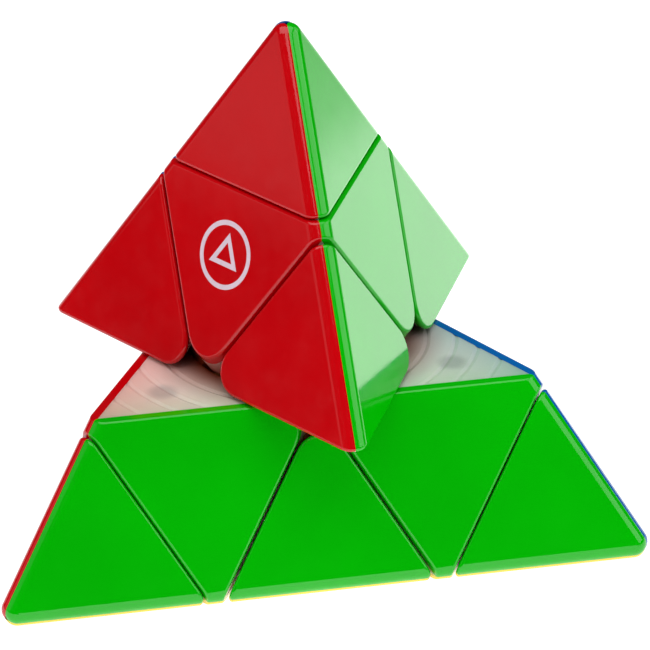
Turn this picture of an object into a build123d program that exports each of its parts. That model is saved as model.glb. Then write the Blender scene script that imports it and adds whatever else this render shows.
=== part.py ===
from build123d import *

import math
import os

# Pyramid twisty puzzle with magnets: a regular tetrahedron cut parallel to its four faces.
# Millimetres, +Z up. The origin is the centre of the core, where the four turning axes meet.
# Each axis runs from the origin to a vertex. A plane square to an axis is named by its
# distance from the origin along that axis, so an outer face lies at -FACE on the axis of
# the vertex opposite to it. The puzzle lies on its yellow face, and its upper layer with the
# top tip is turned by TOP_TURN about +Z.

# ---- driving dimensions -------------------------------------------------------------------
EDGE = 105.3                       # edge of the tetrahedron before its ridges are rounded
FACE = EDGE * math.sqrt(6) / 12    # distance of the four outer faces from the centre
LAYER_CUT = 7.35                   # plane between a layer and the rest, on its axis
TIP_CUT = 35.6                     # plane between a centre piece and its tip
TOP_TURN = 64.0                    # turn of the upper layer, degrees

GAP = 0.2                          # each piece stands back this far from a cut plane
TIP_GAP = 0.1                      # the same between a tip and its centre piece
RIDGE_ROUND = 2.0                  # rounding of each cap along the ridges
RIDGE_SINK = 0.5                   # how far that rounding turns in, which leaves a V along the seam
VERTEX_ROUND = 2.6                 # blunter rounding of the four vertices
VERTEX_CLEAR = 0.12                # the blunting solid stands this far outside the facets
RIM_ROUND = 0.5                    # rounding of the facets along the grooves
EDGE_CORNER = 4.2                  # rounding of an edge piece's corner at the face centre
CENTRE_CORNER = 4.8                # the same on a centre piece

CAP = 1.4                          # thickness of the coloured caps
WALL = 1.5                         # walls of the inner frames
PLATE = 2.0                        # plate that carries a tip
PLAY = 0.3                         # running clearance

DOME = 17.6                        # ball hollow under the centre pieces
FOOT_TOP = DOME - 2 * GAP          # outer ball face of the edge pieces' feet
FOOT_BOTTOM = 14.7                 # inner ball face of the feet
FOOT_CUT = 1.7                     # plane between the feet of two layers
BALL = 14.2                        # core ball
BALL_WALL = 2.0
SPIDER = 6.0                       # ball in the middle of the spider
ARM = 4.0                          # radius of the spider's arms
STEM_BOTTOM = 14.5                 # ball seat of a centre piece's stem
STEM = 6.0                         # radius of the stem under the dome
CUP_FLOOR = 16.2                   # spring seat in the stem
CUP_TOP = 25.0                     # height where the cup widens for the tip's barbs
CUP = 4.2                          # radius of the cup
UPPER_CUP = 5.0                    # radius above CUP_TOP
TUBE = 6.4                         # outer radius of the cup above the dome

SCREW = 1.5                        # shank radius
SCREW_END = 5.0
SCREW_HEAD = 3.0
HEAD_HEIGHT = 1.8
HEAD_ROUND = 0.6
RECESS = (0.8, 3.4, 1.1)           # width, length and depth of the cross recess
WASHER = 3.6
WASHER_THICK = 0.5
WASHER_AT = 22.2
SPRING = 2.8                       # radius to the middle of the wire
WIRE = 0.35
SPRING_TURNS = 5
SPRING_PLAY = 0.1                  # around and at the ends of the springs

TIP_BORE = 4.0                     # hole in the plate
POST = 5.0                         # radius of the post inside a tip
POST_TOP = 57.0                    # height of its end, under the caps
HUB = 3.8                          # tip hub in that hole
HUB_WALL = 1.4
HUB_END = 31.0
HUB_SLOT = 1.0                     # slots that let the hub's barbs spring in
BARB = 4.5
BARB_HEIGHT = 0.8

PEG = 1.2                          # pegs behind the caps
PEG_LENGTH = 2.4
PEG_SOCKET = PEG + 0.05            # radius of the pegs' holes
PEG_BOSS = 2.6
CENTRE_BOSS_LENGTH = 8.0
EDGE_BOSS_LENGTH = 6.0
TIP_PEG = 43.0                     # height of the pegs behind a tip's caps
CENTRE_PEG = 25.5                  # the same on a centre piece
EDGE_PEG_DEPTH = 13.0              # from the ridge to the peg of an edge cap, along the facet

MAGNET = 2.0                       # radius of the magnet discs
MAGNET_THICK = 1.8
MAGNET_SKIN = 0.6                  # plastic in front of a magnet
MAGNET_BOSS = 3.0
MAGNET_BACK = 0.8                  # plastic behind a magnet
MAGNET_RING = 25.4                 # distance of the magnets from the turning axis
GUIDE_RINGS = (20.4, 24.7, 28.2, 32.2)   # shallow V rings in the sliding faces
RING_WIDTH = 1.1
RING_DEPTH = 0.18

OVERLAP = 1.0                      # how far solids run into each other before they are joined or cut
SPAN = 200.0                       # larger than the puzzle, for cutting solids
TOLERANCE = 1e-3

# ---- the four axes ------------------------------------------------------------------------
TILT = math.sqrt(8) / 3
HALF_DIHEDRAL = math.asin(1 / math.sqrt(3))   # half the angle between two facets, 35.26 degrees


def side_axis(azimuth):
    """Unit vector to one of the three lower vertices."""
    angle = math.radians(azimuth)
    return Vector(TILT * math.cos(angle), TILT * math.sin(angle), -1 / 3)


AXES = {
    "top": Vector(0, 0, 1),
    "left": side_axis(210),
    "right": side_axis(330),
    "back": side_axis(90),
}
COLOURS = {"top": "yellow", "left": "blue", "right": "red", "back": "green"}  # opposite faces
TOP, LEFT, RIGHT, BACK = AXES.values()
ALONG_RIDGE = (TOP - LEFT).normalized()
ACROSS_RIDGE = (RIGHT - BACK).normalized()
OUTWARD = (TOP + LEFT).normalized()


# ---- cutting solids -----------------------------------------------------------------------
def above(axis, distance):
    """Everything further along the axis than distance."""
    block = Box(2 * SPAN, 2 * SPAN, SPAN, align=(Align.CENTER, Align.CENTER, Align.MIN))
    return Plane(origin=axis * distance, z_dir=axis).location * block


def below(axis, distance):
    """Everything less far along the axis than distance."""
    return above(axis * -1, -distance)


def wedge(axis_a, axis_b, distance, radius):
    """Everything past distance on both axes, with the edge between the planes rounded."""
    middle = (axis_a + axis_b).normalized()
    apex = 1.5 * distance * (axis_a + axis_b).length
    half = SPAN * math.tan(HALF_DIHEDRAL)
    outline = Polygon((apex, 0), (apex + SPAN, half), (apex + SPAN, -half), align=None)
    outline = fillet(outline.vertices().sort_by(Axis.X)[0], radius)
    frame = Plane(origin=(0, 0, 0), x_dir=middle, z_dir=axis_a.cross(axis_b).normalized())
    return extrude(frame * outline, SPAN, both=True)


def rod(axis, start, end, radius, origin=(0, 0, 0)):
    """Cylinder along an axis through origin, between two distances from it."""
    bar = Cylinder(radius, end - start, align=(Align.CENTER, Align.CENTER, Align.MIN))
    foot = Vector(*origin) + axis * start
    return Plane(origin=foot, z_dir=axis).location * bar


def rings(axis, distance):
    """Shallow V grooves about an axis, for a cut face."""
    shape = None
    for radius in GUIDE_RINGS:
        rims = ((radius - RING_WIDTH, RING_DEPTH), (radius + RING_WIDTH, RING_DEPTH))
        groove = Polygon(*rims, (radius, -RING_DEPTH), align=None)
        ring = revolve(Plane.XZ * groove, Axis.Z)
        shape = ring if shape is None else shape + ring
    return Plane(origin=axis * distance, z_dir=axis).location * shape


# ---- outer shapes of the pieces ------------------------------------------------------------
def on_faces(point, faces):
    """How many of the outer faces, given as axis and distance, a point lies on."""
    return sum(abs(point.dot(axis) + distance) < TOLERANCE for axis, distance in faces)


def round_ridges(body, faces, radius):
    """Round the edges where two outer faces meet."""
    ridges = body.edges().filter_by(lambda edge: on_faces(edge @ 0.5, faces) > 1)
    return fillet(ridges, radius)


def round_rims(body, faces):
    """Round the edges where the outer skin meets the cut faces."""

    def is_outer(face):
        if face.geom_type in (GeomType.CYLINDER, GeomType.SPHERE):
            return abs(face.radius - RIDGE_ROUND) < TOLERANCE
        return on_faces(face.center(), faces) > 0

    outer = ShapeList(edge for face in body.faces() if is_outer(face) for edge in face.edges())
    inner = ShapeList(edge for face in body.faces() if not is_outer(face) for edge in face.edges())
    return fillet(outer & inner, RIM_ROUND)


def within(body, faces):
    """The part of a body inside the outer faces."""
    for axis, distance in faces:
        body &= above(axis, -distance)
    return body


def skin(inside, facet, neighbours):
    """A piece as its cap on one facet needs it: rounded, and sunk beyond the seams."""
    faces = [(facet, FACE)] + [(axis, FACE - RIDGE_SINK) for axis in neighbours]
    return round_rims(round_ridges(within(inside, faces), faces, RIDGE_ROUND), faces)


def block(inside, facets):
    """A piece with sharp ridges, for its frame."""
    return within(inside, [(axis, FACE) for axis in facets])


def blunt_vertex():
    """Solid that rounds off the vertex on the top axis."""
    faces = [(axis, FACE + VERTEX_CLEAR) for axis in (LEFT, RIGHT, BACK)]
    return round_ridges(within(above(TOP, 0), faces), faces, VERTEX_ROUND)


def tip_inside():
    """Space of the tip on the top axis."""
    return above(TOP, TIP_CUT + TIP_GAP)


def centre_inside():
    """Space of the centre piece on the top axis."""
    space = above(TOP, LAYER_CUT + GAP) & below(TOP, TIP_CUT - TIP_GAP)
    for a, b in ((LEFT, RIGHT), (RIGHT, BACK), (BACK, LEFT)):
        space &= wedge(a * -1, b * -1, GAP - LAYER_CUT, CENTRE_CORNER)
    return space


def edge_inside():
    """Space of the edge piece on the ridge between top and left."""
    return wedge(TOP, LEFT, LAYER_CUT + GAP, EDGE_CORNER)


# ---- coloured caps -------------------------------------------------------------------------
def cap(shape, face_axis, neighbours, peg_at):
    """Skin of one facet, mitred against its neighbours, with a peg behind it."""
    plate = shape & below(face_axis, CAP - FACE)
    for axis in neighbours:
        plate &= above((axis - face_axis).normalized(), 0)
    depth = peg_at.dot(face_axis)
    peg = rod(face_axis, CAP - FACE - depth - CAP / 3, CAP - FACE - depth + PEG_LENGTH, PEG, peg_at)
    return plate + peg


def socket(face_axis, peg_at):
    """Hole for a cap's peg."""
    depth = peg_at.dot(face_axis)
    start = CAP - FACE - depth
    return rod(face_axis, start - OVERLAP, start + PEG_LENGTH + GAP, PEG_SOCKET, peg_at)


def facet_point(face_axis, height, axis=TOP):
    """Point on a facet, straight down from the vertex of an axis, at a height on that axis."""
    side = (face_axis + axis / 3).normalized()
    reach = (FACE - height / 3) / TILT
    return axis * height - side * reach


def edge_peg(face_axis):
    """Point on an edge piece's facet where its cap has its peg."""
    ridge = OUTWARD * (FACE * math.sqrt(3))
    down = (face_axis * -1 - OUTWARD * (face_axis * -1).dot(OUTWARD)).normalized()
    step = down * math.sin(HALF_DIHEDRAL) - OUTWARD * math.cos(HALF_DIHEDRAL)
    return ridge + step * EDGE_PEG_DEPTH


# ---- magnets -------------------------------------------------------------------------------
def magnet_seat(layer_axis, toward, start, end, radius):
    """Round solid square to a cut face, at the magnets' place towards one vertex."""
    side = (toward + layer_axis / 3).normalized()
    return rod(layer_axis, start, end, radius, side * MAGNET_RING)


def magnet_parts(layer_axis, toward, face, inward):
    """Boss and magnet behind a cut face: inward is +1 above the plane, -1 below it."""
    near = face + inward * MAGNET_SKIN
    far = near + inward * MAGNET_THICK
    deep = far + inward * MAGNET_BACK
    boss = magnet_seat(layer_axis, toward, min(face, deep), max(face, deep), MAGNET_BOSS)
    disc = magnet_seat(layer_axis, toward, min(near, far), max(near, far), MAGNET)
    return boss, disc


CENTRE_MAGNETS = [magnet_parts(axis, TOP, LAYER_CUT - GAP, -1) for axis in (LEFT, RIGHT, BACK)]
EDGE_MAGNETS = [
    magnet_parts(TOP, LEFT, LAYER_CUT + GAP, 1),
    magnet_parts(LEFT, TOP, LAYER_CUT + GAP, 1),
]


# ---- inner frames --------------------------------------------------------------------------
def tip_frame(shape):
    """Base plate, post and snap hub of a tip."""
    body = shape
    for axis in (LEFT, RIGHT, BACK):
        body &= above(axis, CAP - FACE)
    body -= above(TOP, TIP_CUT + TIP_GAP + WALL) - rod(TOP, 0, POST_TOP, POST)
    body += tip_hub()
    for axis in (LEFT, RIGHT, BACK):
        body -= socket(axis, facet_point(axis, TIP_PEG))
    return body


def tip_hub():
    """Hollow, slotted hub with barbs that snap under the centre piece's plate."""
    barb_top = TIP_CUT - TIP_GAP - PLATE - PLAY
    lead_height = barb_top - BARB_HEIGHT - HUB_END
    lead = Cone(HUB - PLAY, BARB, lead_height, align=(Align.CENTER, Align.CENTER, Align.MIN))
    hub = rod(TOP, HUB_END, TIP_CUT + TIP_GAP + OVERLAP, HUB)
    hub += rod(TOP, barb_top - BARB_HEIGHT, barb_top, BARB) + Pos(0, 0, HUB_END) * lead
    hub -= rod(TOP, HUB_END - OVERLAP, TIP_CUT - TIP_GAP, HUB - HUB_WALL)
    slot_height = TIP_CUT - TIP_GAP - OVERLAP - HUB_END
    slot = Box(HUB_SLOT, 3 * BARB, slot_height, align=(Align.CENTER, Align.CENTER, Align.MIN))
    for angle in (0, 90):
        hub -= Rot(0, 0, angle) * Pos(0, 0, HUB_END) * slot
    return hub


def centre_pocket():
    """Hollow of a centre piece, open under its caps."""
    pocket = above(TOP, LAYER_CUT + GAP + WALL) & below(TOP, TIP_CUT - TIP_GAP - PLATE)
    for a, b in ((LEFT, RIGHT), (RIGHT, BACK), (BACK, LEFT)):
        pocket &= wedge(a * -1, b * -1, GAP - LAYER_CUT + WALL, CENTRE_CORNER - WALL)
    pocket -= Sphere(DOME + WALL)
    pocket -= rod(TOP, 0, SPAN, TUBE)
    for axis in (LEFT, RIGHT, BACK):
        pocket -= socket_boss(axis, facet_point(axis, CENTRE_PEG), CENTRE_BOSS_LENGTH)
    for boss, _ in CENTRE_MAGNETS:
        pocket -= boss
    return pocket


def socket_boss(face_axis, peg_at, length):
    """Round column behind a cap that holds its peg."""
    start = -FACE - peg_at.dot(face_axis)
    return rod(face_axis, start, start + length, PEG_BOSS, peg_at)


def centre_frame(shape):
    """Walls, dome, stem with spring cup and tip plate of a centre piece."""
    body = shape
    for axis in (LEFT, RIGHT, BACK):
        body &= above(axis, CAP - FACE)
    body -= Sphere(DOME)
    body -= centre_pocket()
    body += rod(TOP, 0, DOME + OVERLAP, STEM) - Sphere(STEM_BOTTOM)
    body -= rod(TOP, 0, CUP_FLOOR + OVERLAP, SCREW + PLAY)
    body -= rod(TOP, CUP_FLOOR, CUP_TOP, CUP)
    body -= rod(TOP, CUP_TOP, TIP_CUT - TIP_GAP - PLATE, UPPER_CUP)
    body -= rod(TOP, CUP_TOP, TIP_CUT, TIP_BORE)
    for axis in (LEFT, RIGHT, BACK):
        body -= socket(axis, facet_point(axis, CENTRE_PEG))
        body -= rings(axis, LAYER_CUT - GAP)
    for _, disc in CENTRE_MAGNETS:
        body -= disc
    return body


def edge_pocket():
    """Hollow of an edge piece, open under its caps, with a rib across the middle."""
    pocket = wedge(TOP, LEFT, LAYER_CUT + GAP + WALL, EDGE_CORNER - WALL)
    pocket &= above(OUTWARD, DOME + WALL)
    rib = above(ALONG_RIDGE, -WALL / 2) & below(ALONG_RIDGE, WALL / 2)
    pocket -= rib
    for axis in (RIGHT, BACK):
        pocket -= socket_boss(axis, edge_peg(axis), EDGE_BOSS_LENGTH)
    for boss, _ in EDGE_MAGNETS:
        pocket -= boss
    return pocket


def edge_foot():
    """Foot of an edge piece, held under the two centre pieces beside it."""
    foot = Sphere(FOOT_TOP) - Sphere(FOOT_BOTTOM)
    for axis in (TOP, LEFT):
        foot &= above(axis, FOOT_CUT + GAP)
    for axis in (RIGHT, BACK):
        foot &= below(axis, FOOT_CUT - GAP)
    return foot


def edge_frame(shape):
    """Walls, rib and foot of an edge piece."""
    body = shape
    for axis in (RIGHT, BACK):
        body &= above(axis, CAP - FACE)
    body -= edge_pocket()
    for axis in (RIGHT, BACK):
        body -= Sphere(FOOT_TOP) & above(axis, FOOT_CUT - GAP)
    body += edge_foot()
    for axis in (RIGHT, BACK):
        body -= socket(axis, edge_peg(axis))
    for _, disc in EDGE_MAGNETS:
        body -= disc
    return body


# ---- core ----------------------------------------------------------------------------------
def core_spider():
    """Four threaded arms that hold the axis screws."""
    body = Sphere(SPIDER)
    for axis in AXES.values():
        body += rod(axis, 0, BALL, ARM) & Sphere(BALL - BALL_WALL)
    for axis in AXES.values():
        body -= rod(axis, SCREW_END - PLAY, BALL, SCREW)
    return body


def core_shell(side):
    """Half of the hollow ball around the spider: side is +1 for the upper half."""
    shell = Sphere(BALL) - Sphere(BALL - BALL_WALL)
    shell &= above(TOP * side, 0)
    for axis in AXES.values():
        shell -= rod(axis, 0, BALL + OVERLAP, SCREW + PLAY)
    return shell


def axis_screw():
    """Screw with a cross recess, on the top axis."""
    seat = WASHER_AT + WASHER_THICK
    screw = rod(TOP, SCREW_END, seat, SCREW)
    head = rod(TOP, seat, seat + HEAD_HEIGHT, SCREW_HEAD)
    screw += fillet(head.edges().sort_by(Axis.Z)[-1], HEAD_ROUND)
    width, length, depth = RECESS
    for angle in (0, 90):
        screw -= Rot(0, 0, angle) * Pos(0, 0, seat + HEAD_HEIGHT) * Box(width, length, 2 * depth)
    return screw


def axis_spring():
    """Coil spring between the cup floor and the washer, on the top axis."""
    low = CUP_FLOOR + WIRE + SPRING_PLAY
    high = WASHER_AT - WIRE - SPRING_PLAY / 2
    coil = Helix(pitch=(high - low) / SPRING_TURNS, height=high - low, radius=SPRING)
    section = Plane(origin=coil @ 0, z_dir=coil % 0) * Circle(WIRE)
    return Pos(0, 0, low) * sweep(section, path=coil, is_frenet=True)


def axis_washer():
    """Washer under the screw head, on the top axis."""
    return rod(TOP, WASHER_AT, WASHER_AT + WASHER_THICK, WASHER) - rod(TOP, 0, SPAN, SCREW + SPRING_PLAY)


# ---- placing and writing -------------------------------------------------------------------
def carry(first, second):
    """Turn that takes the top vertex to first and the left vertex to second."""

    def frame(a, b):
        return Plane(origin=(0, 0, 0), x_dir=(AXES[b] + AXES[a] / 3).normalized(), z_dir=AXES[a])

    return frame(first, second).location * frame("top", "left").location.inverse()


def third(first, second):
    """Vertex to which carry(first, second) takes the right vertex."""
    moved = (carry(first, second) * Vertex(*RIGHT)).center()
    return max(AXES, key=lambda name: AXES[name].dot(moved))


def layer_turn(vertices):
    """Turn of the upper layer, for the pieces that belong to it."""
    return Rot(0, 0, TOP_TURN if "top" in vertices else 0)


def write(name, solids):
    """Write one node to parts/."""
    node = Compound(children=[part for solid in solids for part in solid.solids()])
    node.label = name
    export_step(node, os.path.join("parts", name + ".step"))


def write_tips_and_centres():
    """Tips and centre pieces: one frame and three caps on each axis."""
    sides = (LEFT, RIGHT, BACK)
    tip_skin = skin(tip_inside(), LEFT, (RIGHT, BACK)) & blunt_vertex()
    centre_skin = skin(centre_inside(), LEFT, (RIGHT, BACK))
    kinds = {
        "tip": (tip_frame(block(tip_inside(), sides)), tip_skin, TIP_PEG),
        "centre": (centre_frame(block(centre_inside(), sides)), centre_skin, CENTRE_PEG),
    }
    for kind, (frame, shape, peg_height) in kinds.items():
        plate = cap(shape, LEFT, (RIGHT, BACK), facet_point(LEFT, peg_height))
        for first in AXES:
            others = [name for name in AXES if name != first]
            turn = layer_turn([first])
            write(f"{kind}_{first}_frame", [turn * carry(first, others[0]) * frame])
            for face in others:
                write(f"{kind}_{first}_cap_{COLOURS[face]}", [turn * carry(first, face) * plate])


def write_edges():
    """Edge pieces: one frame and two caps on each ridge."""
    frame = edge_frame(block(edge_inside(), (RIGHT, BACK)))
    plate = cap(skin(edge_inside(), RIGHT, (BACK,)), RIGHT, (BACK,), edge_peg(RIGHT))
    names = list(AXES)
    for number, first in enumerate(names):
        for second in names[number + 1:]:
            turn = layer_turn([first, second])
            write(f"edge_{first}_{second}_frame", [turn * carry(first, second) * frame])
            for a, b in ((first, second), (second, first)):
                colour = COLOURS[third(a, b)]
                write(f"edge_{first}_{second}_cap_{colour}", [turn * carry(a, b) * plate])


def write_magnets():
    """Magnets of the base and of the upper layer, a group each."""
    groups = {"base_magnets": [], "top_layer_magnets": []}
    names = list(AXES)
    for first in names:
        for second in names:
            if first == second:
                continue
            centre_disc = CENTRE_MAGNETS[0][1]
            edge_disc = EDGE_MAGNETS[0][1]
            for disc, vertices in ((centre_disc, [first]), (edge_disc, [first, second])):
                group = "top_layer_magnets" if "top" in vertices else "base_magnets"
                groups[group].append(layer_turn(vertices) * carry(first, second) * disc)
    for name, discs in groups.items():
        write(name, discs)


def write_core():
    """Core ball, spider, screws, springs and washers."""
    write("core_spider", [core_spider()])
    write("core_shell_upper", [core_shell(1)])
    write("core_shell_lower", [core_shell(-1)])
    stacks = {"axis_screws": axis_screw(), "axis_springs": axis_spring(), "axis_washers": axis_washer()}
    for name, part in stacks.items():
        write(name, [carry(first, "left" if first == "top" else "top") * part for first in AXES])


os.makedirs("parts", exist_ok=True)
write_tips_and_centres()
write_edges()
write_magnets()
write_core()
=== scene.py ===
"""Looks for the pyramid twisty puzzle: glossy coloured caps on frosted frames, on a pale table."""
import math

import bmesh
import bpy
from mathutils import Matrix, Vector
from mathutils.kdtree import KDTree


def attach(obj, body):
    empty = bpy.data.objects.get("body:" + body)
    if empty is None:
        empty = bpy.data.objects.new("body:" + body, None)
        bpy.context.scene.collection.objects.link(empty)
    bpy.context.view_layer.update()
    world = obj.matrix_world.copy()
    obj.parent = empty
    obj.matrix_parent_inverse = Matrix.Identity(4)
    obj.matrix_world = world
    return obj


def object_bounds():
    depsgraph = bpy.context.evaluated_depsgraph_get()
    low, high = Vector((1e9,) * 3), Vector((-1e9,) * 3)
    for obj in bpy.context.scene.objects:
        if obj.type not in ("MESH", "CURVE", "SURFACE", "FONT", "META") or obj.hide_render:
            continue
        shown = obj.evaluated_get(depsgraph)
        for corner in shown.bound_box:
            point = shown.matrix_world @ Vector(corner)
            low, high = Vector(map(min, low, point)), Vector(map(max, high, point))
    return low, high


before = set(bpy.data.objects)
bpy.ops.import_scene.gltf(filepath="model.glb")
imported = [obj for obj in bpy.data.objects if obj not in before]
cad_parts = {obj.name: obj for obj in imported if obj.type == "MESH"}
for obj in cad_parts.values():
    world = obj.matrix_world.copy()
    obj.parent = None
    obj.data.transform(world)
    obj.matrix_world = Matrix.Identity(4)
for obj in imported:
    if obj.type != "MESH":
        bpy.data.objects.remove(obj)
CAD_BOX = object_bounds()

MM = 0.001

# ---- view ---------------------------------------------------------------------------------
VIEW_AZIMUTH = 260.116         # degrees, the camera's direction seen from the puzzle
VIEW_ELEVATION = 28.037
VIEW_ROLL = -1.108
VIEW_DISTANCE = 661.9 * MM
VIEW_AIM = Vector((5.47, 2.99, 7.15)) * MM
LENS = 239.60                  # mm, as is the sensor
SENSOR = 36.0
NEAREST_SEEN = 10.0 * MM

# ---- colours, linear ----------------------------------------------------------------------
RED = (0.52, 0.0004, 0.0030)
GREEN = (0.0003, 0.415, 0.0003)
BLUE = (0.001, 0.10, 0.36)
YELLOW = (0.80, 0.60, 0.004)
FROST = (0.88, 0.74, 0.74)
CORE = (0.36, 0.13, 0.04)
INK = (0.70, 0.55, 0.64)
CAP_COLOURS = {"red": RED, "green": GREEN, "blue": BLUE, "yellow": YELLOW}
LIGHT_THROUGH = {              # what each cap does to the light that reaches the frame through it
    "red": (1.0, 0.42, 0.38),
    "green": (0.38, 0.80, 0.47),
    "blue": (0.18, 0.46, 0.54),
    "yellow": (1.0, 0.86, 0.50),
}
CAP_LIGHT_SHARE = 0.75                    # painted coloured light: most of that colour that the frame behind a cap shows
CAP_LIGHT_HALVES_IN = 6.0 * MM      # the depth behind the cap in which that painted colour fades by half
DEEP_SHADE = (0.28, 0.05, 0.005)     # painted shade in the middle of the puzzle: what is left of the light there
DEEP_SHADE_FROM = 24.6 * MM          # distances from the puzzle's middle at which the painted shade starts and is full
DEEP_SHADE_TO = 17.6 * MM
MAGNET_SHADOW_CORE = 1.7 * MM           # painted shadow of a magnet: full shadow ends here, from its middle
MAGNET_SHADOW_EDGE = 3.3 * MM
MAGNET_SHADOW = (0.70, 0.71, 0.72)      # painted shadow: what a magnet under the surface leaves of the light

FLOOR_CELLS = 8
FLOOR_HALF = 6.0               # metres from its middle to its edge
FLOOR_COLOUR = (0.5, 0.5, 0.5)
FLOOR_GLOW = (                 # pools of light: centre, inner and outer radius in metres, strengths
    ((0, 0, 0), 0.25, 0.65, 0.76, 0.05),
    ((0.18, 0.126, 0), 0.09, 0.165, 1.30, 0.0),
    ((0.42, 0.28, 0), 0.12, 0.26, 0.24, 0.0),
    ((0, -0.09, 0), 0.02, 0.12, 0.6, 0.0),
)

MARK_RADIUS = 5.2 * MM         # printed mark
MARK_LINE = 0.75 * MM
MARK_TRIANGLE = 3.4 * MM
MARK_CORNERS = 96              # of the polygons that stand for circles
INK_THICK = 0.02 * MM
INK_LIFT = 0.005 * MM

MAGNET_REACH = 2.3 * MM        # from a magnet's middle to the rim of its own pocket, at most
SAME_VERTEX = 0.001 * MM
SAME_FACING = 0.9999           # cosine between the normals of one flat face's polygons
SAME_PLANE = 0.05 * MM

NICKEL = (0.62, 0.61, 0.59)
STEEL = (0.55, 0.55, 0.56)

# ---- surfaces: noise in features per metre, shades and roughness as ranges ----------------
CAP_IOR = 1.47
CAP_SCATTER = 0.06             # share of the light that scatters under the skin, and how deep
CAP_SCATTER_DEPTH = 1.2 * MM
CAP_FLOW = 45                  # flow marks in the colour
CAP_SHADES = (0.93, 1.05)
CAP_HAZE = 260                 # patches of finer and coarser gloss
CAP_ROUGHNESS = (0.06, 0.13)
CAP_SKIN = 1400                # orange peel
CAP_WAVES = 110                # slow unevenness of the faces
CAP_SKIN_SHARE = 0.12          # how high the peel is, with the waves as 1
CAP_RELIEF = 0.012 * MM
FROST_IOR = 1.49
FROST_SCATTER = 0.5
FROST_SCATTER_DEPTH = 3.0 * MM
FROST_SCATTER_RGB = (1.0, 0.85, 0.7)
FROST_CLOUDS = 90
FROST_SHADES = (0.94, 1.04)
FROST_BLASTING = 500
FROST_ROUGHNESS = (0.34, 0.52)
FROST_GRAIN = 2600
GRAIN_RELIEF = 0.02 * MM
METAL_SCRATCHES = 900
METAL_ROUGHNESS = (0.7, 1.5)   # as factors of each metal's own
METAL_TARNISH = 150
TARNISHED = 0.82
SCRATCH_RELIEF = 0.006 * MM
CORE_CLOUDS = 70
CORE_CLOUDED = 0.9
CORE_WEAR = 400
CORE_ROUGHNESS = (0.32, 0.5)
CORE_GRAIN = 1800
INK_MOTTLING = 700
INK_MOTTLED = 0.9
INK_WEAR = 900
INK_ROUGHNESS = (0.25, 0.45)

# ---- light --------------------------------------------------------------------------------
WORLD = 0.03
LIGHTS = (                     # name, azimuth, elevation, distance, width, height, watts, mirrored
    ("top_light", 250, 80, 1.2, 1.5, 1.5, 16, True),
    ("haze_light", 176, 19, 1.0, 0.7, 0.53, 0.52, True),
    ("left_light", 212, 30, 1.0, 0.8, 0.6, 2.6, False),
    ("right_light", 335, 30, 1.0, 0.8, 0.6, 3.0, True),
    ("back_light", 10, 35, 1.0, 0.6, 0.6, 1.2, True),
)


# ---- node helpers -------------------------------------------------------------------------
class Shader:
    """A material with a principled surface, and short calls that add nodes to it."""

    def __init__(self, name, **sockets):
        self.material = bpy.data.materials.new(name)
        self.material.use_nodes = True
        self.tree = self.material.node_tree
        self.surface = self.tree.nodes["Principled BSDF"]
        for socket, value in sockets.items():
            self.surface.inputs[socket.replace("_", " ")].default_value = value
        self.place = self.node("ShaderNodeTexCoord").outputs["Object"]

    def node(self, kind, **settings):
        made = self.tree.nodes.new(kind)
        for key, value in settings.items():
            setattr(made, key, value)
        return made

    def link(self, source, target):
        self.tree.links.new(source, target)

    def noise(self, scale, detail=2.0, roughness=0.5, place=None):
        """Cloudy noise; the scale is in features per metre."""
        made = self.node("ShaderNodeTexNoise")
        made.inputs["Scale"].default_value = scale
        made.inputs["Detail"].default_value = detail
        made.inputs["Roughness"].default_value = roughness
        self.link(place or self.place, made.inputs["Vector"])
        return made.outputs["Fac"]

    def spread(self, value, low, high, start=0.3, end=0.7, smooth=False):
        """Maps start..end of a value to low..high."""
        made = self.node("ShaderNodeMapRange")
        if smooth:
            made.interpolation_type = "SMOOTHSTEP"
        for socket, number in (("From Min", start), ("From Max", end), ("To Min", low), ("To Max", high)):
            made.inputs[socket].default_value = number
        self.link(value, made.inputs["Value"])
        return made.outputs["Result"]

    def maths(self, operation, first, second):
        """Combines two values, each a number or a node's output."""
        made = self.node("ShaderNodeMath", operation=operation)
        for socket, value in zip(made.inputs, (first, second)):
            if isinstance(value, (int, float)):
                socket.default_value = value
            else:
                self.link(value, socket)
        return made.outputs["Value"]

    def mix(self, factor, first, second):
        """Blends two colours, each a tuple or a node's output."""
        made = self.node("ShaderNodeMix", data_type="RGBA")
        self.link(factor, made.inputs["Factor"])
        for socket, colour in ((made.inputs["A"], first), (made.inputs["B"], second)):
            if isinstance(colour, tuple):
                socket.default_value = (*colour, 1.0)
            else:
                self.link(colour, socket)
        return made.outputs["Result"]

    def multiply(self, factor, first, second):
        """Multiplies a colour by another, as far as the factor says."""
        product = self.mix(factor, first, second)
        product.node.blend_type = "MULTIPLY"
        return product

    def bump(self, height, distance):
        """Raises the surface by the height, which spans a distance in metres."""
        made = self.node("ShaderNodeBump")
        made.inputs["Distance"].default_value = distance
        self.link(height, made.inputs["Height"])
        self.link(made.outputs["Normal"], self.surface.inputs["Normal"])

    def feed(self, socket, value):
        """Links a node's output to one of the surface's sockets."""
        self.link(value, self.surface.inputs[socket])


def shade(colour, factor):
    return tuple(channel * factor for channel in colour)


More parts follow.
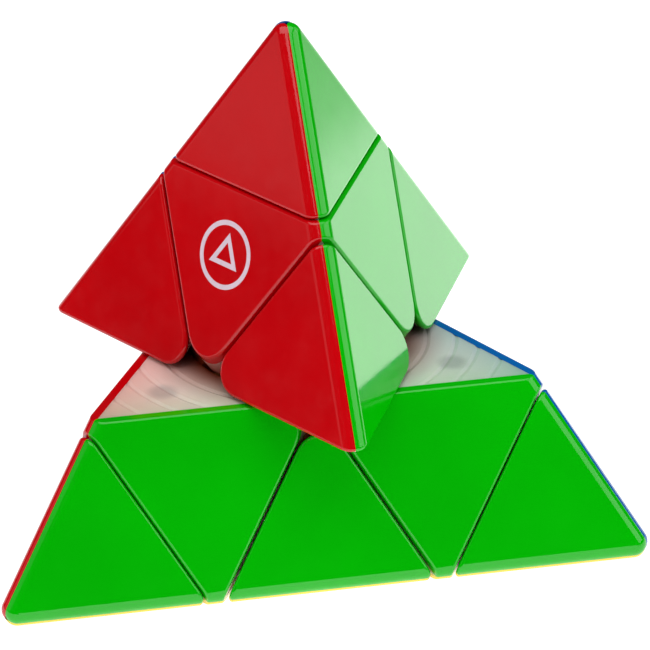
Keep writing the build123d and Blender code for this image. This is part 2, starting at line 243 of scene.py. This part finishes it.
# ---- materials ----------------------------------------------------------------------------
def cap_plastic(name, colour):
    """Glossy moulded plastic: faint flow marks in the colour, an orange-peel skin, fine wear."""
    made = Shader(name, IOR=CAP_IOR, Subsurface_Weight=CAP_SCATTER,
                  Subsurface_Scale=CAP_SCATTER_DEPTH)
    made.surface.inputs["Subsurface Radius"].default_value = (1.0, 1.0, 1.0)
    flow = made.noise(CAP_FLOW, detail=3)
    darker, lighter = (shade(colour, factor) for factor in CAP_SHADES)
    made.feed("Base Color", made.mix(made.spread(flow, 0, 1), darker, lighter))
    haze = made.noise(CAP_HAZE, detail=4, roughness=0.6)
    made.feed("Roughness", made.spread(haze, *CAP_ROUGHNESS))
    skin = made.noise(CAP_SKIN, detail=2)
    waves = made.noise(CAP_WAVES, detail=1)
    height = made.maths("ADD", made.maths("MULTIPLY", skin, CAP_SKIN_SHARE), waves)
    made.bump(height, CAP_RELIEF)
    return made.material


def paint_cap_light(made, colour, cap):
    """Painted light: the frosted plastic is given the colour of the light that comes through a cap near
    it, fading with depth behind the cap.
    """
    centre, normal = facet(cap)
    inward = made.node("ShaderNodeVectorMath", operation="DOT_PRODUCT")
    made.link(made.place, inward.inputs[0])
    inward.inputs[1].default_value = -normal
    depth = made.maths("ADD", inward.outputs["Value"], centre.dot(normal))
    fade = made.maths("POWER", 0.5, made.maths("DIVIDE", depth, CAP_LIGHT_HALVES_IN))
    return made.multiply(made.maths("MULTIPLY", fade, CAP_LIGHT_SHARE), colour, LIGHT_THROUGH[colour_of(cap)])


def frosted_plastic(node, magnet_middles):
    """Frosted translucent plastic with painted light: coloured light from its caps, painted shade towards
    the puzzle's middle, and a painted shadow where a magnet lies just under the surface.
    """
    made = Shader("frost_" + node, IOR=FROST_IOR, Subsurface_Weight=FROST_SCATTER,
                  Subsurface_Scale=FROST_SCATTER_DEPTH)
    made.surface.inputs["Subsurface Radius"].default_value = FROST_SCATTER_RGB
    clouds = made.spread(made.noise(FROST_CLOUDS, detail=4), 0, 1)
    darker, lighter = (shade(FROST, factor) for factor in FROST_SHADES)
    colour = made.mix(clouds, darker, lighter)
    # painted coloured light from the caps of the same piece
    for cap in caps_of(node):
        colour = paint_cap_light(made, colour, cap)
    # painted shade, full towards the puzzle's middle
    inside = made.node("ShaderNodeVectorMath", operation="LENGTH")
    made.link(made.place, inside.inputs[0])
    depth = made.spread(inside.outputs["Value"], 1.0, 0.0, DEEP_SHADE_TO, DEEP_SHADE_FROM)
    colour = made.multiply(depth, colour, DEEP_SHADE)
    # painted shadow of each magnet just under the surface
    for magnet_middle in magnet_middles:
        away = made.node("ShaderNodeVectorMath", operation="DISTANCE")
        made.link(made.place, away.inputs[0])
        away.inputs[1].default_value = magnet_middle
        shadow = made.spread(away.outputs["Value"], 1.0, 0.0, MAGNET_SHADOW_CORE, MAGNET_SHADOW_EDGE, smooth=True)
        colour = made.multiply(shadow, colour, MAGNET_SHADOW)
    made.feed("Base Color", colour)
    blasting = made.noise(FROST_BLASTING, detail=4, roughness=0.7)
    made.feed("Roughness", made.spread(blasting, *FROST_ROUGHNESS))
    made.bump(made.noise(FROST_GRAIN, detail=3), GRAIN_RELIEF)
    return made.material


def metal(name, colour, roughness, stretch=(1, 1, 1)):
    """Plated or drawn metal with fine scratches and slight tarnish."""
    made = Shader(name, Metallic=1.0)
    mapping = made.node("ShaderNodeMapping")
    mapping.inputs["Scale"].default_value = stretch
    made.link(made.place, mapping.inputs["Vector"])
    scratches = made.noise(METAL_SCRATCHES, detail=5, roughness=0.7, place=mapping.outputs["Vector"])
    tarnish = made.spread(made.noise(METAL_TARNISH, detail=3), 0, 1)
    made.feed("Base Color", made.mix(tarnish, shade(colour, TARNISHED), colour))
    finest, coarsest = (roughness * factor for factor in METAL_ROUGHNESS)
    made.feed("Roughness", made.spread(scratches, finest, coarsest))
    made.bump(scratches, SCRATCH_RELIEF)
    return made.material


def core_plastic(name):
    """Moulded plastic of the core, warm and a little uneven."""
    made = Shader(name)
    clouds = made.spread(made.noise(CORE_CLOUDS, detail=3), 0, 1)
    made.feed("Base Color", made.mix(clouds, shade(CORE, CORE_CLOUDED), CORE))
    made.feed("Roughness", made.spread(made.noise(CORE_WEAR, detail=4), *CORE_ROUGHNESS))
    made.bump(made.noise(CORE_GRAIN, detail=2), GRAIN_RELIEF)
    return made.material


def ink(name):
    """Pad-printed ink: nearly white, thin enough for a little mottling."""
    made = Shader(name)
    mottling = made.spread(made.noise(INK_MOTTLING, detail=4), 0, 1)
    made.feed("Base Color", made.mix(mottling, shade(INK, INK_MOTTLED), INK))
    made.feed("Roughness", made.spread(made.noise(INK_WEAR, detail=3), *INK_ROUGHNESS))
    return made.material


# ---- what the frame says ------------------------------------------------------------------
def colour_of(cap):
    return cap.rsplit("_", 1)[1]


def caps_of(node):
    """The caps on the same puzzle piece as this frame."""
    piece = node.removesuffix("_frame")
    return [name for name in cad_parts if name.startswith(piece + "_cap_")]


def islands(node):
    """Centres of a node's separate solids."""
    mesh = bmesh.new()
    mesh.from_mesh(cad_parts[node].data)
    bmesh.ops.remove_doubles(mesh, verts=mesh.verts, dist=SAME_VERTEX)
    left = set(mesh.verts)
    centres = []
    for seed in mesh.verts:
        if seed not in left:
            continue
        left.remove(seed)
        group, front = [seed], [seed]
        while front:
            vert = front.pop()
            for edge in vert.link_edges:
                other = edge.other_vert(vert)
                if other in left:
                    left.remove(other)
                    group.append(other)
                    front.append(other)
        centres.append(sum((vert.co for vert in group), Vector()) / len(group))
    mesh.free()
    return centres


def own_magnets(node, magnets):
    """Middles of the magnets that sit in this frame, whose pockets have rims nearby."""
    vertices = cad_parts[node].data.vertices
    tree = KDTree(len(vertices))
    for index, vertex in enumerate(vertices):
        tree.insert(vertex.co, index)
    tree.balance()
    return [magnet_middle for magnet_middle in magnets if tree.find(magnet_middle)[2] < MAGNET_REACH]


def facet(node):
    """Centre and outward normal of a cap's flat face, from its largest polygons."""
    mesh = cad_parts[node].data
    biggest = max(mesh.polygons, key=lambda polygon: polygon.area)
    flat = [p for p in mesh.polygons if p.normal.dot(biggest.normal) > SAME_FACING and
            abs((p.center - biggest.center).dot(biggest.normal)) < SAME_PLANE]
    area = sum(p.area for p in flat)
    centre = sum((p.center * p.area for p in flat), Vector()) / area
    return centre, biggest.normal.normalized()


# ---- printed mark -------------------------------------------------------------------------
def outline(radius, corners, turn=0.0):
    """Points of a regular polygon; with many corners it is a circle."""
    angles = (turn + 2 * math.pi * k / corners for k in range(corners))
    return [Vector((math.cos(a), math.sin(a), 0)) * radius for a in angles]


def add_band(mesh, outer, inner):
    """A flat printed line between two outlines."""
    lift = Vector((0, 0, INK_THICK))
    rows = [[mesh.verts.new(point) for point in row]
            for row in (outer, [p + lift for p in outer], [p + lift for p in inner], inner)]
    count = len(outer)
    for k in range(count):
        n = (k + 1) % count
        for first, second in zip(rows, rows[1:] + rows[:1]):
            mesh.faces.new((first[k], first[n], second[n], second[k]))


def printed_mark(node, body):
    """A ring around a triangle, printed on a cap."""
    centre, normal = facet(node)
    up = (Vector((0, 0, 1)) - normal * normal.z).normalized()
    side = up.cross(normal)
    mesh = bmesh.new()
    ring_inside = MARK_RADIUS - MARK_LINE
    add_band(mesh, outline(MARK_RADIUS, MARK_CORNERS), outline(ring_inside, MARK_CORNERS))
    triangle_inside = MARK_TRIANGLE - 2 * MARK_LINE
    point_up = math.pi / 2
    add_band(mesh, outline(MARK_TRIANGLE, 3, point_up), outline(triangle_inside, 3, point_up))
    data = bpy.data.meshes.new("printed_mark")
    mesh.to_mesh(data)
    mesh.free()
    mark = bpy.data.objects.new("printed_mark", data)
    bpy.context.scene.collection.objects.link(mark)
    turn = Matrix((side, up, normal)).transposed().to_4x4()
    mark.matrix_world = Matrix.Translation(centre + normal * INK_LIFT) @ turn
    data.materials.append(ink("ink"))
    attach(mark, body)


# ---- dressing the frame -------------------------------------------------------------------
def dress(node, material):
    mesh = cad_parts[node].data
    mesh.materials.clear()
    mesh.materials.append(material)


def dress_all():
    """Gives every node of the frame its material."""
    caps = {name: cap_plastic("cap_" + name, colour) for name, colour in CAP_COLOURS.items()}
    plain = {
        "axis_screws": metal("screw_steel", STEEL, roughness=0.3),
        "axis_springs": metal("spring_steel", STEEL, roughness=0.25, stretch=(1, 1, 6)),
        "axis_washers": metal("washer_steel", STEEL, roughness=0.35),
        "base_magnets": metal("nickel", NICKEL, roughness=0.2),
    }
    plain["top_layer_magnets"] = plain["base_magnets"]
    core = core_plastic("core_plastic")
    magnets = islands("base_magnets") + islands("top_layer_magnets")
    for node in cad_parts:
        if "_cap_" in node:
            dress(node, caps[colour_of(node)])
        elif node.endswith("_frame"):
            dress(node, frosted_plastic(node, own_magnets(node, magnets)))
        else:
            dress(node, plain.get(node, core))


# ---- stage --------------------------------------------------------------------------------
def add_camera():
    """A long lens that looks down on the puzzle, tilted a little."""
    azimuth = math.radians(VIEW_AZIMUTH)
    elevation = math.radians(VIEW_ELEVATION)
    roll = math.radians(VIEW_ROLL)
    level = math.cos(elevation)
    back = Vector((math.cos(azimuth) * level, math.sin(azimuth) * level, math.sin(elevation)))
    right = Vector((-math.sin(azimuth), math.cos(azimuth), 0))
    up = back.cross(right)
    turned_right = right * math.cos(roll) + up * math.sin(roll)
    turned_up = up * math.cos(roll) - right * math.sin(roll)
    data = bpy.data.cameras.new("camera")
    data.sensor_width = SENSOR
    data.lens = LENS
    data.clip_start = NEAREST_SEEN
    camera = bpy.data.objects.new("camera", data)
    bpy.context.scene.collection.objects.link(camera)
    turn = Matrix((turned_right, turned_up, back)).transposed().to_4x4()
    camera.matrix_world = Matrix.Translation(VIEW_AIM + back * VIEW_DISTANCE) @ turn
    bpy.context.scene.camera = camera


def add_floor(height):
    """A pale table top with pools of light in it, so that the shadows on it stay faint."""
    mesh = bmesh.new()
    bmesh.ops.create_grid(mesh, x_segments=FLOOR_CELLS, y_segments=FLOOR_CELLS, size=FLOOR_HALF)
    data = bpy.data.meshes.new("floor")
    mesh.to_mesh(data)
    mesh.free()
    floor = bpy.data.objects.new("floor", data)
    floor.location.z = height
    bpy.context.scene.collection.objects.link(floor)
    made = Shader("floor", Roughness=0.9)
    made.surface.inputs["Base Color"].default_value = (*FLOOR_COLOUR, 1)
    made.surface.inputs["Specular IOR Level"].default_value = 0.0
    made.surface.inputs["Emission Color"].default_value = (1, 1, 1, 1)
    glow = None
    for centre, inner, outer, strong, weak in FLOOR_GLOW:
        away = made.node("ShaderNodeVectorMath", operation="DISTANCE")
        made.link(made.place, away.inputs[0])
        away.inputs[1].default_value = centre
        pool = made.spread(away.outputs["Value"], strong, weak, inner, outer, smooth=True)
        glow = pool if glow is None else made.maths("ADD", glow, pool)
    made.feed("Emission Strength", glow)
    data.materials.append(made.material)


def add_panel(name, azimuth, elevation, distance, width, height, power, mirrored):
    """A rectangular soft light that faces the puzzle; glossy surfaces may leave it out."""
    data = bpy.data.lights.new(name, "AREA")
    data.shape = "RECTANGLE"
    data.size = width
    data.size_y = height
    data.energy = power
    light = bpy.data.objects.new(name, data)
    bpy.context.scene.collection.objects.link(light)
    turn = math.radians(azimuth)
    rise = math.radians(elevation)
    back = Vector((math.cos(turn) * math.cos(rise), math.sin(turn) * math.cos(rise), math.sin(rise)))
    light.location = back * distance
    light.visible_glossy = mirrored
    light.rotation_euler = back.to_track_quat("Z", "Y").to_euler()


def add_world(brightness):
    world = bpy.data.worlds.new("world")
    world.use_nodes = True
    world.node_tree.nodes["Background"].inputs["Color"].default_value = (1, 1, 1, 1)
    world.node_tree.nodes["Background"].inputs["Strength"].default_value = brightness
    bpy.context.scene.world = world


dress_all()
printed_mark("centre_top_cap_red", "top_layer")
add_floor(CAD_BOX[0][2])
add_camera()
add_world(WORLD)
for light in LIGHTS:
    add_panel(*light)
bpy.context.scene.view_settings.view_transform = "Standard"
